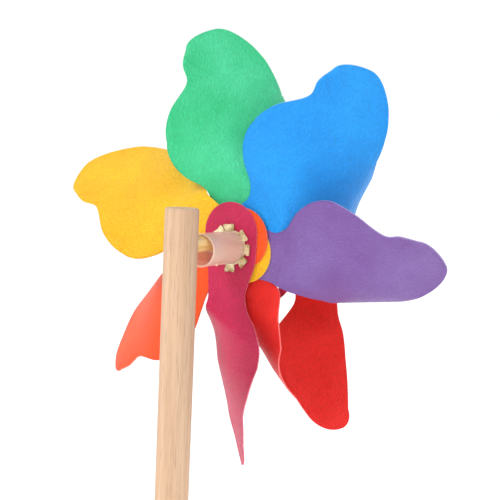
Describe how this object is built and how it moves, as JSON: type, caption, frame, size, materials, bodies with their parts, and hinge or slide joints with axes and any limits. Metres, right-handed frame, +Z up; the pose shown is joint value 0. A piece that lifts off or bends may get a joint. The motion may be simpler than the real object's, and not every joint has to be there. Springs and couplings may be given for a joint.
{
  "type": "stick pinwheel",
  "caption": "Pinwheel on a round wooden stick: looped plastic-sheet petals in rainbow colours spin on a bamboo axle through a straw-like bearing tube.",
  "frame": {"origin": "centre of the stick's lower end", "axes": "+Z up along the stick, +Y forward along the axle from the stick to the wheel, +X to the right when seen from behind the stick"},
  "size_m": [0.1322, 0.0898, 0.3525],
  "materials": {
    "stick_wood": "sanded, unvarnished, straight grain",
    "axle_bamboo": "split bamboo, fibrous",
    "bead_wood": "turned, unvarnished",
    "tube_plastic": "milky translucent, satin",
    "eyelet_brass": "pale brass, crimped",
    "magenta_sheet": "satin, fine leather grain embossed",
    "orange_sheet": "satin, fine leather grain embossed",
    "yellow_sheet": "satin, fine leather grain embossed",
    "green_sheet": "satin, fine leather grain embossed",
    "blue_sheet": "satin, fine leather grain embossed",
    "purple_sheet": "satin, fine leather grain embossed",
    "red_sheet": "satin, fine leather grain embossed"
  },
  "bodies": {
    "stand": {"stick": "stick_wood", "axle": "axle_bamboo", "front_bead": "bead_wood"},
    "wheel": {"bearing_tube": "tube_plastic", "rear_eyelet": "eyelet_brass", "front_eyelet": "eyelet_brass", "petal_magenta": "magenta_sheet", "petal_orange": "orange_sheet", "petal_yellow": "yellow_sheet", "petal_green": "green_sheet", "petal_blue": "blue_sheet", "petal_purple": "purple_sheet", "petal_red": "red_sheet"}
  },
  "joints": [
    {"name": "wheel_spin", "type": "hinge", "parent": "stand", "child": "wheel", "pos_m": [0, 0.0263, 0.28705], "axis": [0, 1, 0], "continuous": true}
  ]
}
